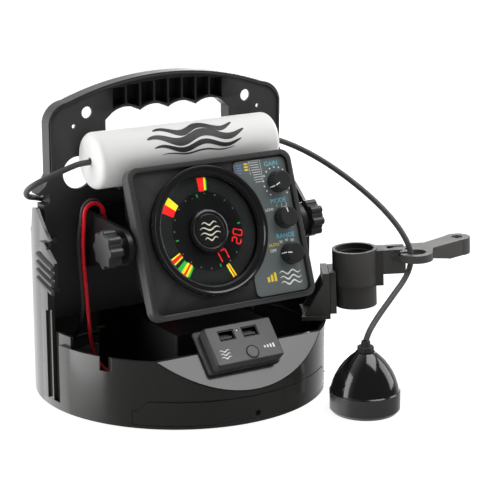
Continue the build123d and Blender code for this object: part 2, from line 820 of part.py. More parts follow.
# ---------------------------------------------------------------- transducer
transducer_section = Plane(origin=(transducer_x, transducer_y, 0), x_dir=(1, 0, 0), z_dir=(0, -1, 0))
with BuildPart() as transducer_blank:
    with BuildSketch(transducer_section):
        with BuildLine():
            Polyline((0, 0), (transducer_radius - 2.5, 0), (transducer_radius, 3), (transducer_radius, 19))
            Polyline((transducer_radius, 19), (transducer_radius - 1, 20))
            ThreePointArc((transducer_radius - 1, 20), (24.5, 36.5), (9, 54))
            Polyline((9, 54), (0, 54), (0, 0))
        make_face()
    revolve(axis=Axis((transducer_x, transducer_y, 0), (0, 0, 1)))

with BuildPart() as transducer_shell:
    add(transducer_blank.part)
    with BuildSketch(Plane.XY):
        with Locations((transducer_x, transducer_y)):
            Circle(transducer_radius + 5)
    extrude(amount=face_thickness, mode=Mode.SUBTRACT)
    with BuildSketch(Plane.XY.offset(face_thickness)):
        with Locations((transducer_x, transducer_y)):
            Circle(transducer_radius - 6)
    extrude(amount=8, mode=Mode.SUBTRACT)
    with BuildSketch(Plane.XY.offset(40)):
        with Locations((transducer_x, transducer_y)):
            Circle(4)
    extrude(amount=20, mode=Mode.SUBTRACT)
save(transducer_shell, "transducer_shell")

with BuildPart() as transducer_face:
    add(transducer_blank.part)
    with BuildSketch(Plane.XY.offset(face_thickness)):
        with Locations((transducer_x, transducer_y)):
            Circle(transducer_radius + 5)
    extrude(amount=50, mode=Mode.SUBTRACT)
save(transducer_face, "transducer_face")

with BuildPart() as crystal:
    with BuildSketch(Plane.XY.offset(face_thickness + 0.1)):
        with Locations((transducer_x, transducer_y)):
            Circle(20)
    extrude(amount=6)
save(crystal, "transducer_crystal")

with BuildPart() as strain_relief:
    with BuildSketch(Plane.XY.offset(54)):
        with Locations((transducer_x, transducer_y)):
            RegularPolygon(7.4, 8)
    extrude(amount=5)
    with BuildSketch(Plane.XY.offset(42)):
        with Locations((transducer_x, transducer_y)):
            Circle(3.9)
    extrude(amount=12)
    with BuildSketch(Plane.XY.offset(59)):
        with Locations((transducer_x, transducer_y)):
            Circle(4.6)
    extrude(amount=5, taper=10)
save(strain_relief, "transducer_strain_relief")

# ---------------------------------------------------------------- float and its cradles
with BuildPart() as ice_float:
    with BuildSketch(side_plane(float_left)):
        with Locations((float_y, float_z)):
            Circle(float_radius)
    extrude(amount=float_right - float_left)
    fillet(ice_float.edges().filter_by(GeomType.CIRCLE), 5)
    cross_cylinder(float_left - 1, float_right + 1, 3.1, float_y, float_z, mode=Mode.SUBTRACT)
save(ice_float, "float")

with BuildPart() as float_cradles:
    for cradle_x in (-62, 62):
        with BuildSketch(side_plane(cradle_x - 5)):
            with Locations((float_y, float_z)):
                Circle(float_radius + 2.6)
                Circle(float_radius + 0.3, mode=Mode.SUBTRACT)
            with Locations((10, float_z - 25)):
                Rectangle(48, 36, mode=Mode.INTERSECT)
            with Locations((15.7, float_z - 17)):
                Rectangle(4.4, 26)
        extrude(amount=10)
        with BuildSketch(side_plane(cradle_x - 6)):
            with Locations((float_y, float_z)):
                Circle(float_radius + 0.3)
        extrude(amount=12, mode=Mode.SUBTRACT)
save(float_cradles, "float_cradles")

# ---------------------------------------------------------------- battery
battery_size = (94.0, 151.0, 64.0)
battery_floor = base_lift + case_wall + 2.5
with BuildPart() as battery_tray:
    with BuildSketch(Plane.XY.offset(base_lift + case_wall)):
        Rectangle(battery_size[0] + 6, battery_size[1] + 6)
    extrude(amount=8)
    with BuildSketch(Plane.XY.offset(battery_floor)):
        Rectangle(battery_size[0], battery_size[1])
    extrude(amount=10, mode=Mode.SUBTRACT)
save(battery_tray, "battery_tray")

with BuildPart() as battery:
    with BuildSketch(Plane.XY.offset(battery_floor)):
        Rectangle(battery_size[0] - 0.4, battery_size[1] - 0.4)
    extrude(amount=battery_size[2])
    fillet(battery.edges().filter_by(Axis.Z), 3)
save(battery, "battery")

terminal_y = {"red": -62.0, "black": 62.0}
with BuildPart() as battery_terminals:
    for y in terminal_y.values():
        with BuildSketch(side_plane(-(battery_size[0] - 0.4) / 2)):
            with Locations((y, 38)):
                Rectangle(6.3, 10)
        extrude(amount=-6)
save(battery_terminals, "battery_terminals")


# ---------------------------------------------------------------- cords
def corner_radii(route):
    """As large a fillet at each corner of a route as its two runs allow."""
    points = [Vector(*point) for point in route]
    radii = []
    for before, corner, after in zip(points, points[1:], points[2:]):
        turn = (corner - before).get_angle(after - corner)
        shorter = min((corner - before).length, (after - corner).length)
        radii.append(0.45 * shorter / tan(radians(turn / 2)))
    return radii


def cord_tube(route, diameter, name):
    """Round cord along straight runs joined by tangent arcs."""
    radii = corner_radii(route)
    print(name, "corner radii", [round(radius, 1) for radius in radii])
    with BuildPart() as tube:
        with BuildLine() as path:
            FilletPolyline(*route, radius=radii)
        centre_line = path.wire()
        with BuildSketch(Plane(origin=centre_line @ 0, z_dir=centre_line % 0)) as section:
            Circle(diameter / 2)
        sweep(section.sketch, path=centre_line)
    length = centre_line.length
    expected = length * pi * diameter**2 / 4
    print(name, "length", round(length, 1), "volume ratio", round(tube.part.volume / expected, 3))
    save(tube, name)


transducer_cord_route = [
    (-81.4, 46, 122),
    (-82.2, 45.9, 138.5),
    (-87.5, 45.5, 154),
    (-98, 44, 167),
    (-111.5, 40.5, 177),
    (-125, 33.5, 182.5),
    (-136.5, 24.5, 186),
    (-143, 17, 190.5),
    (-145.5, 9.5, 196),
    (-143, 2.5, 201.5),
    (-136, -2.5, 206.3),
    (-125, -6.3, 211.3),
    (-112.5, -8.6, 216),
    (float_left - 6, float_y, float_z),
    (float_right + 6, float_y, float_z),
    (108, -15, 214),
    (121, -28.5, 206.3),
    (135, -45.4, 195),
    (149.1, -63.7, 180.4),
    (159.8, -86.8, 164.1),
    (167, -106, 147.5),
    (170, -118.5, 133),
    (170.3, -122.8, 122.8),
    (167.2, -125.4, 112.3),
    (156.5, -130.5, 103),
    (144, -135.5, 96),
    (131.5, -140.5, 88.5),
    (119.5, -145, 81.3),
    (109, -149.8, 74.6),
    (101.4, -153.8, 69.4),
    (transducer_x, transducer_y, 63.5),
]
cord_tube(transducer_cord_route, cord_diameter, "transducer_cord")


def plug_point(x, drop):
    """Point on the line that a rear plug's leg points along, past the leg's mouth by drop."""
    return tuple(head_face.from_local_coords((x, plug_row_y - plug_leg_length - drop, leg_depth)))


head_cord_route = [
    plug_point(transducer_plug_x, 0),
    plug_point(transducer_plug_x, 11),
    (50.5, -34, 75),
    (60.5, -26.5, 66.5),
    (67, -12.5, 61),
    (70.5, 3.5, 59),
    (71, 19, 62),
    (69, 33, 69.5),
    (64, 43, 79.5),
    (54.5, 43, 88.5),
    (40, 40.8, 91.8),
]
cord_tube(head_cord_route, cord_diameter, "head_cord")

hank_middle_z = 125.0
hank_band = 12.0
with BuildPart() as cord_hank:
    with BuildSketch(front_plane(hank_y + 9)):
        with Locations((0, hank_middle_z)):
            SlotOverall(2 * hank_half_length, 2 * hank_half_height)
            SlotOverall(
                2 * (hank_half_length - hank_band), 2 * (hank_half_height - hank_band), mode=Mode.SUBTRACT
            )
    extrude(amount=18)
save(cord_hank, "cord_hank")

with BuildPart() as cord_cleats:
    for side in (-1, 1):
        with BuildSketch(front_plane(hank_y + 13)):
            with Locations((side * 59, hank_middle_z)):
                Circle(10)
        extrude(amount=hank_y + 13 - panel_front_y - panel_skin)
        with BuildSketch(front_plane(hank_y + 13)):
            with Locations((side * 59, hank_middle_z)):
                RectangleRounded(14, 84, 4)
        extrude(amount=3)
save(cord_cleats, "cord_cleats")

lead_tab_x = -(battery_size[0] - 0.4) / 2 - 6
red_plug_x = power_plug_x - lead_half_gap
black_plug_x = power_plug_x + lead_half_gap
lead_routes = {
    "power_lead_red": [
        (lead_tab_x, terminal_y["red"], 38),
        (-66, terminal_y["red"], 38),
        (-78, -56, 34.5),
        (-87, -45, 32.5),
        (-93, -32, 34),
        (-97, -20.5, 42),
        (-98.5, -13.5, 55),
        (-98.5, -10.5, 71),
        (-98.3, -7.5, 89),
        (-98.2, -4.5, 108),
        (-98.1, -1.5, 125),
        (-97.9, 0, 140),
        (-98, -1.5, 153),
        (-98.2, -4.5, 164.5),
        (-98.5, -6, 175.4),
        (-93.2, -6.5, 181),
        (-85.8, -6.7, 181),
        (-80.5, -7, 175.4),
        (-80, -7.5, 163.5),
        (-77, -7.5, 151.5),
        (-69.5, -7, 140.5),
        (-58.5, -6.5, 131.5),
        (-45.5, -5.5, 123.5),
        (-33.5, -4, 114.5),
        (-25.5, -2, 105),
        (-21, -0.7, 95.5),
        (red_plug_x, -0.9, 85.5),
        (red_plug_x, -7.9, 77.2),
        (red_plug_x, -18.7, 75.3),
        (red_plug_x, -28.1, 80.7),
        plug_point(red_plug_x, 10.8),
        plug_point(red_plug_x, 0),
    ],
    "power_lead_black": [
        (lead_tab_x, terminal_y["black"], 38),
        (-66, terminal_y["black"], 38),
        (-80, 53, 40),
        (-91, 38, 44.5),
        (-97.5, 20, 53.5),
        (-100, 5, 66.5),
        (-100.2, -3.3, 83.5),
        (-100.2, -2, 104),
        (-100, 2, 124),
        (-99.8, 4.8, 142),
        (-99.6, 3.2, 154),
        (-99.2, -0.8, 166),
        (-98.8, -2.2, 177),
        (-93.3, -2.5, 182.6),
        (-85.7, -2.6, 182.6),
        (-80, -2.8, 177),
        (-79.2, -3.2, 165),
        (-76, -3.2, 153.5),
        (-68, -3, 143.5),
        (-56.5, -2.3, 135.5),
        (-43, -1, 127.5),
        (-30, 2, 117),
        (-20.5, 3, 107),
        (-16.5, 2, 96.5),
        (black_plug_x, -0.9, 85.5),
        (black_plug_x, -7.9, 77.2),
        (black_plug_x, -18.7, 75.3),
        (black_plug_x, -28.1, 80.7),
        plug_point(black_plug_x, 10.8),
        plug_point(black_plug_x, 0),
    ],
}
for name, route in lead_routes.items():
    cord_tube(route, lead_diameter, name)
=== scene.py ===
"""Looks of the fish finder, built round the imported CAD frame. Metres, +Z up, -Y towards the user."""

import json
from math import atan2, cos, pi, radians, sin, tan

import bpy
from mathutils import Matrix, Vector


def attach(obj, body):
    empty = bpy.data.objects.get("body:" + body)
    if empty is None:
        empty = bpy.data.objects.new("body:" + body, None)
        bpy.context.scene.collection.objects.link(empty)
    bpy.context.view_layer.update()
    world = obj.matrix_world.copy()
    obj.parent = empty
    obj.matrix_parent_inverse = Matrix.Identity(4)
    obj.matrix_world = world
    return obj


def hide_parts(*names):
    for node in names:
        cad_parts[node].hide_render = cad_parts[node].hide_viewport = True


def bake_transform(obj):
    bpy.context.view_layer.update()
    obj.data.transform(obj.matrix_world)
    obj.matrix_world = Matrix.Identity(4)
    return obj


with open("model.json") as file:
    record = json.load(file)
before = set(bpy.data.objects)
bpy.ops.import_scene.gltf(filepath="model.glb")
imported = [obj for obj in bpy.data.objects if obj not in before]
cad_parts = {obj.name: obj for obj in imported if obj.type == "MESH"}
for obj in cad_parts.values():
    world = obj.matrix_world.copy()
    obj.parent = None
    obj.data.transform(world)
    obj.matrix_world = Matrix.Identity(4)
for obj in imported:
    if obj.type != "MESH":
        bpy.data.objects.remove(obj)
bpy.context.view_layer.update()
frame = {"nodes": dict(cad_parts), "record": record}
nodes = frame["nodes"]
scene = bpy.context.scene
MM = 0.001

# ---------------------------------------------------------------- driving places, in millimetres
head_tilt = radians(20.8)
slope_angle = radians(46)
head_face_centre = (0, -77.4, 157.2)
dial_centre = (-11.5, 4.5)
wall_radius = 134.0
slope_top_y, slope_top_z = -105.0, 61.6


def frame_matrix(origin, x_axis, y_axis, z_axis):
    """Matrix of a local frame from its origin in millimetres and its three unit axes."""
    columns = (Vector(x_axis), Vector(y_axis), Vector(z_axis), Vector(origin) * MM)
    return Matrix([[column[row] for column in columns] for row in range(3)] + [[0, 0, 0, 1]])


head_frame = frame_matrix(
    head_face_centre,
    (1, 0, 0),
    (0, sin(head_tilt), cos(head_tilt)),
    (0, -cos(head_tilt), sin(head_tilt)),
)
dial_frame = head_frame @ Matrix.Translation((dial_centre[0] * MM, dial_centre[1] * MM, 0))


# ---------------------------------------------------------------- camera, light and floor
def look_at(thing, target):
    """Turn a camera or light so that it looks at a point."""
    thing.rotation_euler = (Vector(target) - thing.location).to_track_quat("-Z", "Y").to_euler()


def make_camera():
    camera = bpy.data.objects.new("camera", bpy.data.cameras.new("camera"))
    camera.location = (-0.7828, -1.3734, 0.5534)
    camera.data.lens = 129.6
    camera.data.sensor_width = 36
    camera.data.clip_end = 30
    look_at(camera, (0.0270, -0.0774, 0.1382))
    scene.collection.objects.link(camera)
    scene.camera = camera


def softbox(name, place, target, size, power):
    """Rectangular soft light at a place, turned to a target."""
    data = bpy.data.lights.new(name, "AREA")
    data.shape = "RECTANGLE"
    data.size, data.size_y = size
    data.energy = power
    light = bpy.data.objects.new(name, data)
    light.location = place
    look_at(light, target)
    scene.collection.objects.link(light)


def make_world():
    """White for the eye, and for everything else bright behind the object and dim in front of it."""
    world = bpy.data.worlds.new("studio")
    scene.world = world
    world.use_nodes = True
    tree = world.node_tree
    background = tree.nodes["Background"]
    coords = tree.nodes.new("ShaderNodeTexCoord")
    axes = tree.nodes.new("ShaderNodeSeparateXYZ")
    depth = tree.nodes.new("ShaderNodeMapRange")
    depth.inputs["From Min"].default_value = -0.35
    depth.inputs["From Max"].default_value = 0.75
    depth.inputs["To Min"].default_value = 0.05
    depth.inputs["To Max"].default_value = 1.15
    depth.interpolation_type = "SMOOTHSTEP"
    path = tree.nodes.new("ShaderNodeLightPath")
    seen = tree.nodes.new("ShaderNodeMix")
    seen.data_type = "FLOAT"
    seen.inputs[3].default_value = 1.0
    tree.links.new(coords.outputs["Generated"], axes.inputs[0])
    tree.links.new(axes.outputs["Y"], depth.inputs["Value"])
    tree.links.new(path.outputs["Is Camera Ray"], seen.inputs[0])
    tree.links.new(depth.outputs["Result"], seen.inputs[2])
    tree.links.new(seen.outputs[0], background.inputs["Strength"])
    background.inputs["Color"].default_value = (1, 1, 1, 1)


def make_floor():
    """Plain pale floor, half lit by itself so that only soft contact shadows show."""
    mesh = bpy.data.meshes.new("floor")
    half = 9.0
    corners = [(-half, -half, 0), (half, -half, 0), (half, half, 0), (-half, half, 0)]
    mesh.from_pydata(corners, [], [(0, 1, 2, 3)])
    floor = bpy.data.objects.new("floor", mesh)
    scene.collection.objects.link(floor)
    material = bpy.data.materials.new("floor")
    material.use_nodes = True
    shader = material.node_tree.nodes["Principled BSDF"]
    shader.inputs["Base Color"].default_value = (0.28, 0.28, 0.28, 1)
    shader.inputs["Roughness"].default_value = 0.9
    shader.inputs["Specular IOR Level"].default_value = 0.0
    shader.inputs["Emission Color"].default_value = (1, 1, 1, 1)
    shader.inputs["Emission Strength"].default_value = 0.9
    mesh.materials.append(material)
    floor.visible_glossy = False


make_camera()
make_world()
make_floor()
softbox("top_light", (0.55, -0.45, 1.35), (0, -0.05, 0.1), (1.1, 0.9), 13)
softbox("left_light", (-1.35, 0.35, 0.30), (0, 0, 0.12), (0.9, 1.5), 15)
softbox("rear_left_light", (-0.85, 1.1, 0.0), (-0.13, 0, 0.1), (0.9, 1.4), 3.5)
softbox("rear_right_light", (0.85, 1.0, 0.0), (0.13, -0.05, 0.1), (0.7, 1.2), 12)
softbox("right_light", (1.4, -0.5, 0.55), (0.1, -0.05, 0.12), (0.7, 1.0), 6)
scene.view_settings.view_transform = "Standard"


# ---------------------------------------------------------------- materials
def new_material(name):
    """Fresh node material with its tree and shader."""
    material = bpy.data.materials.new(name)
    material.use_nodes = True
    return material, material.node_tree, material.node_tree.nodes["Principled BSDF"]


def noise(tree, coords, scale, detail):
    """Noise texture in the object's own metres."""
    node = tree.nodes.new("ShaderNodeTexNoise")
    node.inputs["Scale"].default_value = scale
    node.inputs["Detail"].default_value = detail
    node.inputs["Roughness"].default_value = 0.55
    tree.links.new(coords.outputs["Object"], node.inputs["Vector"])
    return node


def spread(tree, source, low, high, from_low=0.3, from_high=0.7):
    """Map a noise's middle range to a pair of values."""
    node = tree.nodes.new("ShaderNodeMapRange")
    node.inputs["From Min"].default_value = from_low
    node.inputs["From Max"].default_value = from_high
    node.inputs["To Min"].default_value = low
    node.inputs["To Max"].default_value = high
    tree.links.new(source, node.inputs["Value"])
    return node.outputs["Result"]


def tint(colour, factor):
    """Colour made brighter or darker by a factor, with alpha."""
    return tuple(min(1.0, channel * factor) for channel in colour[:3]) + (1.0,)


def plastic(name, colour, rough, grain=0.0008, depth=0.00002, edge=0.0005, mottle=0.12, coat=0.0, wear_and_edge_highlight=0.0):
    """Moulded surface: fine grain, slow change of tone and gloss, softened edges, and sharp corners painted
    lighter: partly wear, partly a painted edge highlight.
    """
    material, tree, shader = new_material(name)
    coords = tree.nodes.new("ShaderNodeTexCoord")
    fine = noise(tree, coords, 1 / grain, 2.0)
    broad = noise(tree, coords, 14.0, 4.0)
    rounded = tree.nodes.new("ShaderNodeBevel")
    rounded.samples = 4
    rounded.inputs["Radius"].default_value = edge
    bump = tree.nodes.new("ShaderNodeBump")
    bump.inputs["Strength"].default_value = 1.0
    bump.inputs["Distance"].default_value = depth
    tree.links.new(fine.outputs["Fac"], bump.inputs["Height"])
    tree.links.new(rounded.outputs["Normal"], bump.inputs["Normal"])
    tree.links.new(bump.outputs["Normal"], shader.inputs["Normal"])
    tone = tree.nodes.new("ShaderNodeMix")
    tone.data_type = "RGBA"
    tone.inputs[6].default_value = tint(colour, 1 - mottle)
    tone.inputs[7].default_value = tint(colour, 1 + mottle)
    tree.links.new(broad.outputs["Fac"], tone.inputs[0])
    last = tone.outputs[2]
    # Sharp corners painted lighter by pointiness: partly wear, partly a painted edge highlight.
    if wear_and_edge_highlight:
        geometry = tree.nodes.new("ShaderNodeNewGeometry")
        corner = spread(tree, geometry.outputs["Pointiness"], 0.0, wear_and_edge_highlight, 0.53, 0.62)
        wear_and_edge_highlight_mix = tree.nodes.new("ShaderNodeMix")
        wear_and_edge_highlight_mix.data_type = "RGBA"
        wear_and_edge_highlight_mix.inputs[7].default_value = tint([channel + 0.06 for channel in colour[:3]], 1.6)
        tree.links.new(corner, wear_and_edge_highlight_mix.inputs[0])
        tree.links.new(last, wear_and_edge_highlight_mix.inputs[6])
        last = wear_and_edge_highlight_mix.outputs[2]
    tree.links.new(last, shader.inputs["Base Color"])
    tree.links.new(spread(tree, broad.outputs["Fac"], rough * 0.86, rough * 1.14), shader.inputs["Roughness"])
    if coat:
        shader.inputs["Coat Weight"].default_value = coat
        shader.inputs["Coat Roughness"].default_value = 0.08
    return material


def metal(name, colour, rough):
    """Turned or plated metal with fine scratches."""
    material, tree, shader = new_material(name)
    coords = tree.nodes.new("ShaderNodeTexCoord")
    fine = noise(tree, coords, 900.0, 3.0)
    shader.inputs["Base Color"].default_value = tint(colour, 1)
    shader.inputs["Metallic"].default_value = 1.0
    tree.links.new(spread(tree, fine.outputs["Fac"], rough * 0.8, rough * 1.3), shader.inputs["Roughness"])
    rounded = tree.nodes.new("ShaderNodeBevel")
    rounded.inputs["Radius"].default_value = 0.0002
    tree.links.new(rounded.outputs["Normal"], shader.inputs["Normal"])
    return material


def foam(name):
    """Closed cell white foam with a slightly dented skin."""
    material = plastic(name, (0.86, 0.86, 0.845), 0.62, grain=0.0011, depth=0.00009, mottle=0.03)
    shader = material.node_tree.nodes["Principled BSDF"]
    shader.inputs["Subsurface Weight"].default_value = 0.12
    shader.inputs["Subsurface Radius"].default_value = (0.004, 0.004, 0.004)
    return material


def window_glass(name):
    """Clear window with a faint gloss."""
    material, _, shader = new_material(name)
    shader.inputs["Base Color"].default_value = (0.92, 0.94, 0.95, 1)
    shader.inputs["Transmission Weight"].default_value = 1.0
    shader.inputs["Roughness"].default_value = 0.03
    shader.inputs["IOR"].default_value = 1.25
    return material


# Where a look sets the corner amount, its sharp corners are painted lighter: partly wear, partly painted edge
# highlight.
looks = {
    "case_black": plastic("case_black", (0.026, 0.026, 0.0245), 0.17, 0.002, 0.000012, 0.0008, 0.1, 0.25),
    "panel_black": plastic(
        "panel_black", (0.017, 0.017, 0.018), 0.42, 0.0007, 0.00002, 0.001, 0.12, wear_and_edge_highlight=0.3
    ),
    "bracket_black": plastic("bracket_black", (0.014, 0.014, 0.015), 0.38, 0.0005, 0.00003, 0.0004),
    "head_grey": plastic("head_grey", (0.015, 0.015, 0.016), 0.32, 0.0005, 0.00004, 0.001, 0.1, wear_and_edge_highlight=0.4),
    "dial_black": plastic("dial_black", (0.010, 0.010, 0.0105), 0.25, 0.001, 0.000008, 0.0006),
    "dial_gloss": plastic("dial_gloss", (0.013, 0.013, 0.014), 0.16, 0.001, 0.00001, 0.0003, 0.1, 0.3),
    "window_clear": window_glass("window_clear"),
    "plate_grey": plastic("plate_grey", (0.12, 0.142, 0.140), 0.5, 0.0005, 0.00001, 0.0003, 0.05),
    "knob_black": plastic("knob_black", (0.018, 0.018, 0.019), 0.34, 0.0005, 0.00002, 0.0005, wear_and_edge_highlight=0.2),
    "soft_black": plastic("soft_black", (0.03, 0.03, 0.03), 0.7, 0.0006, 0.00004),
    "steel": metal("steel", (0.55, 0.55, 0.56), 0.3),
    "brass": metal("brass", (0.68, 0.5, 0.22), 0.35),
    "inner_grey": metal("inner_grey", (0.5, 0.5, 0.51), 0.4),
    "board_green": plastic("board_green", (0.02, 0.12, 0.05), 0.4),
    "usb_grey": plastic("usb_grey", (0.036, 0.036, 0.036), 0.4, 0.0006, 0.00002, 0.0006, 0.06, wear_and_edge_highlight=0.25),
    "usb_metal": metal("usb_metal", (0.035, 0.035, 0.036), 0.4),
    "button_black": plastic("button_black", (0.075, 0.075, 0.077), 0.4),
    "led_white": plastic("led_white", (0.02, 0.02, 0.022), 0.15),
    "holder_grey": plastic(
        "holder_grey", (0.048, 0.046, 0.043), 0.55, 0.0006, 0.00005, 0.0006, 0.1, wear_and_edge_highlight=0.2
    ),
    "transducer_black": plastic(
        "transducer_black", (0.010, 0.010, 0.011), 0.12, 0.003, 0.00001, 0.0006, 0.1, 0.4
    ),
    "band_grey": plastic("band_grey", (0.045, 0.045, 0.048), 0.3, 0.002, 0.00001, 0.0006),
    "ceramic": plastic("ceramic", (0.62, 0.58, 0.5), 0.6),
    "foam_white": foam("foam_white"),
    "battery_grey": plastic("battery_grey", (0.012, 0.012, 0.013), 0.5),
    "plug_black": plastic("plug_black", (0.02, 0.02, 0.021), 0.45),
    "cord_black": plastic("cord_black", (0.058, 0.057, 0.060), 0.5, 0.0007, 0.00004),
    "lead_red": plastic("lead_red", (0.85, 0.008, 0.02), 0.28, 0.001, 0.00001),
    "seam_black": plastic("seam_black", (0.002, 0.002, 0.002), 0.6),
    "rail_grey": plastic("rail_grey", (0.075, 0.075, 0.076), 0.45, 0.0006, 0.00004, 0.0006, wear_and_edge_highlight=0.5),
}
panel_shader = looks["panel_black"].node_tree.nodes["Principled BSDF"]
panel_shader.inputs["Specular IOR Level"].default_value = 0.25
for entry in frame["record"]["subparts"]:
    part_mesh = nodes[entry["node"]].data
    part_mesh.materials.clear()
    part_mesh.materials.append(looks[entry["material_slot"]])
nodes["transducer_face"].data.materials[0] = looks["band_grey"]


# ---------------------------------------------------------------- cords
def cord_curve(name, route, diameter, material):
    """Smooth cord along a route in metres: one open NURBS spline with a round bevel."""
    data = bpy.data.curves.new(name, "CURVE")
    data.dimensions = "3D"
    data.resolution_u = 8
    data.bevel_resolution = 5
    data.bevel_depth = diameter / 2
    spline = data.splines.new("NURBS")
    spline.points.add(len(route) - 1)
    for point, place in zip(spline.points, route):
        point.co = (*place, 1)
    spline.order_u = 3
    spline.use_endpoint_u = True
    data.materials.append(material)
    piece = bpy.data.objects.new(name, data)
    scene.collection.objects.link(piece)
    return piece


def line_points(piece):
    """Points along a curve's own centre line, in order."""
    bare = piece.copy()
    bare.data = piece.data.copy()
    bare.data.bevel_depth = 0
    scene.collection.objects.link(bare)
    bpy.context.view_layer.update()
    mesh = bpy.data.meshes.new_from_object(bare.evaluated_get(bpy.context.evaluated_depsgraph_get()))
    points = [tuple(vertex.co) for vertex in mesh.vertices]
    bpy.data.objects.remove(bare)
    return points


def as_mesh(piece):
    """Turn a curve piece into a mesh piece of the same name."""
    name, data = piece.name, piece.data
    bpy.context.view_layer.update()
    mesh = bpy.data.meshes.new_from_object(piece.evaluated_get(bpy.context.evaluated_depsgraph_get()))
    bpy.data.objects.remove(piece)
    solid = bpy.data.objects.new(name, mesh)
    mesh.shade_smooth()
    scene.collection.objects.link(solid)
    return solid


def length_of(points):
    """Length of a line through points."""
    return sum((Vector(b) - Vector(a)).length for a, b in zip(points, points[1:]))


def hank_turns():
    """Control points of the wound cord: five and a half racetrack turns round the two posts."""
    half_run, middle_z = 0.048, 0.125
    outer, inner = 0.0332, 0.0279
    front, middle, back = 0.0408, 0.046, 0.0512
    tracks = [(outer, front), (inner, front), (inner, middle), (inner, back), (outer, back), (outer, middle)]
    end_angles = [radians(15 + 30 * step) for step in range(6)]
    reach = 1 / cos(radians(15))
    points = []
    for radius, depth in tracks:
        last = (radius, depth) == tracks[-1]
        points += [(x, depth, middle_z - radius) for x in (0.036, 0.012, -0.012, -0.036)]
        left_end = [angle for angle in end_angles if not (last and angle > radians(80))]
        for angle in left_end:
            points.append(
                (-half_run - radius * reach * sin(angle), depth, middle_z - radius * reach * cos(angle))
            )
        if last:
            break
        points += [(x, depth, middle_z + radius) for x in (-0.036, -0.012, 0.012, 0.036)]
        for angle in end_angles:
            points.append(
                (half_run + radius * reach * sin(angle), depth, middle_z + radius * reach * cos(angle))
            )
    return points


free_route = [
    (-0.0814, 0.046, 0.122),
    (-0.0822, 0.0459, 0.1385),
    (-0.0875, 0.0455, 0.154),
    (-0.098, 0.044, 0.167),
    (-0.1115, 0.0405, 0.177),
    (-0.125, 0.0335, 0.1825),
    (-0.1365, 0.0245, 0.186),
    (-0.143, 0.017, 0.1905),
    (-0.1455, 0.0095, 0.196),
    (-0.143, 0.0025, 0.2015),
    (-0.136, -0.0025, 0.2063),
    (-0.125, -0.0063, 0.2113),
    (-0.1125, -0.0086, 0.216),
    (-0.0994, -0.009, 0.2193),
    (0.0936, -0.009, 0.2193),
    (0.108, -0.015, 0.214),
    (0.121, -0.0285, 0.2063),
    (0.135, -0.0454, 0.195),
    (0.1491, -0.0637, 0.1804),
    (0.1598, -0.0868, 0.1641),
    (0.167, -0.106, 0.1475),
    (0.170, -0.1185, 0.133),
    (0.1703, -0.1228, 0.1228),
    (0.1672, -0.1254, 0.1123),
    (0.1565, -0.1305, 0.103),
    (0.144, -0.1355, 0.096),
    (0.1315, -0.1405, 0.0885),
    (0.1195, -0.145, 0.0813),
    (0.109, -0.1498, 0.0746),
    (0.1014, -0.1538, 0.0694),
    (0.0973, -0.156, 0.0635),
]


def plug_leg_point(x, drop):
    """Point past the mouth of a rear plug's leg, along the leg, in metres."""
    return tuple(head_frame @ Vector((x, plug_row_y - plug_leg_length - drop, plug_leg_depth)))


plug_row_y = -0.015
plug_leg_length = 0.020
plug_leg_depth = -0.066
transducer_plug_x = 0.045
red_x, black_x = -0.020, -0.016

head_route = [
    plug_leg_point(transducer_plug_x, 0),
    plug_leg_point(transducer_plug_x, 0.011),
    (0.0505, -0.034, 0.075),
    (0.0605, -0.0265, 0.0665),
    (0.067, -0.0125, 0.061),
    (0.0705, 0.0035, 0.059),
    (0.071, 0.019, 0.062),
    (0.069, 0.033, 0.0695),
    (0.064, 0.043, 0.0795),
    (0.0545, 0.043, 0.0885),
    (0.040, 0.0408, 0.0918),
]
red_route = [
    (-0.0528, -0.062, 0.038),
    (-0.066, -0.062, 0.038),
    (-0.078, -0.056, 0.0345),
    (-0.087, -0.045, 0.0325),
    (-0.093, -0.032, 0.034),
    (-0.097, -0.0205, 0.042),
    (-0.0985, -0.0135, 0.055),
    (-0.0985, -0.0105, 0.071),
    (-0.0983, -0.0075, 0.089),
    (-0.0982, -0.0045, 0.108),
    (-0.0981, -0.0015, 0.125),
    (-0.0979, 0, 0.140),
    (-0.098, -0.0015, 0.153),
    (-0.0982, -0.0045, 0.1645),
    (-0.0985, -0.006, 0.1754),
    (-0.0932, -0.0065, 0.181),
    (-0.0858, -0.0067, 0.181),
    (-0.0805, -0.007, 0.1754),
    (-0.080, -0.0075, 0.1635),
    (-0.077, -0.0075, 0.1515),
    (-0.0695, -0.007, 0.1405),
    (-0.0585, -0.0065, 0.1315),
    (-0.0455, -0.0055, 0.1235),
    (-0.0335, -0.004, 0.1145),
    (-0.0255, -0.002, 0.105),
    (-0.021, -0.0007, 0.0955),
    (red_x, -0.0009, 0.0855),
    (red_x, -0.0079, 0.0772),
    (red_x, -0.0187, 0.0753),
    (red_x, -0.0281, 0.0807),
    plug_leg_point(red_x, 0.0108),
    plug_leg_point(red_x, 0),
]
